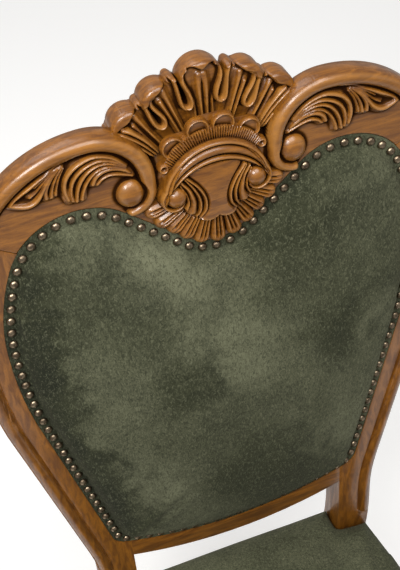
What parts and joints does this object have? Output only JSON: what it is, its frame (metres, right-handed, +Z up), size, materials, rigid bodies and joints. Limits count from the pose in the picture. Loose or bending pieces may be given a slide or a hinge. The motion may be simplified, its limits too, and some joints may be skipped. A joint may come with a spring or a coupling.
{
  "type": "carved dining side chair",
  "caption": "Upholstered dining side chair with a show-wood frame, shell-carved crest, suede back and seat edged with brass nails, cabriole front legs and sabre rear legs.",
  "frame": {"origin": "on the floor, under the middle of the chair's overall box", "axes": "+Z up, the sitter faces -Y, +X to the right as seen from the front"},
  "size_m": [0.5102, 0.6226, 1.152],
  "materials": {
    "carved_wood": "honey-brown satin lacquer with darker glaze in the carving",
    "blank_wood": "bare hardwood",
    "plywood": "bare plywood",
    "suede": "dark olive-green mottled suede cloth",
    "gimp": "woven gimp braid matching the suede",
    "foam": "upholstery foam",
    "nail_brass": "antique brass, domed",
    "steel": "zinc plated",
    "glide_plastic": "dark nail-on glide"
  },
  "bodies": {
    "root": {"back_cover": "suede", "back_foam": "foam", "back_lower_rail": "carved_wood", "back_nailheads": "nail_brass", "back_panel": "plywood", "crest_carving": "carved_wood", "crest_dowels": "blank_wood", "crest_rail": "carved_wood", "foot_glides": "glide_plastic", "front_left_block": "blank_wood", "front_left_leg": "carved_wood", "front_right_block": "blank_wood", "front_right_leg": "carved_wood", "front_seat_rail": "carved_wood", "left_seat_rail": "carved_wood", "left_stile": "carved_wood", "outside_back_board": "plywood", "outside_back_cover": "suede", "outside_back_gimp": "gimp", "rear_left_block": "blank_wood", "rear_right_block": "blank_wood", "rear_seat_rail": "carved_wood", "right_seat_rail": "carved_wood", "right_stile": "carved_wood", "seat_board": "plywood", "seat_cover": "suede", "seat_foam": "foam", "seat_nailheads": "nail_brass", "seat_screws": "steel"}
  },
  "joints": []
}
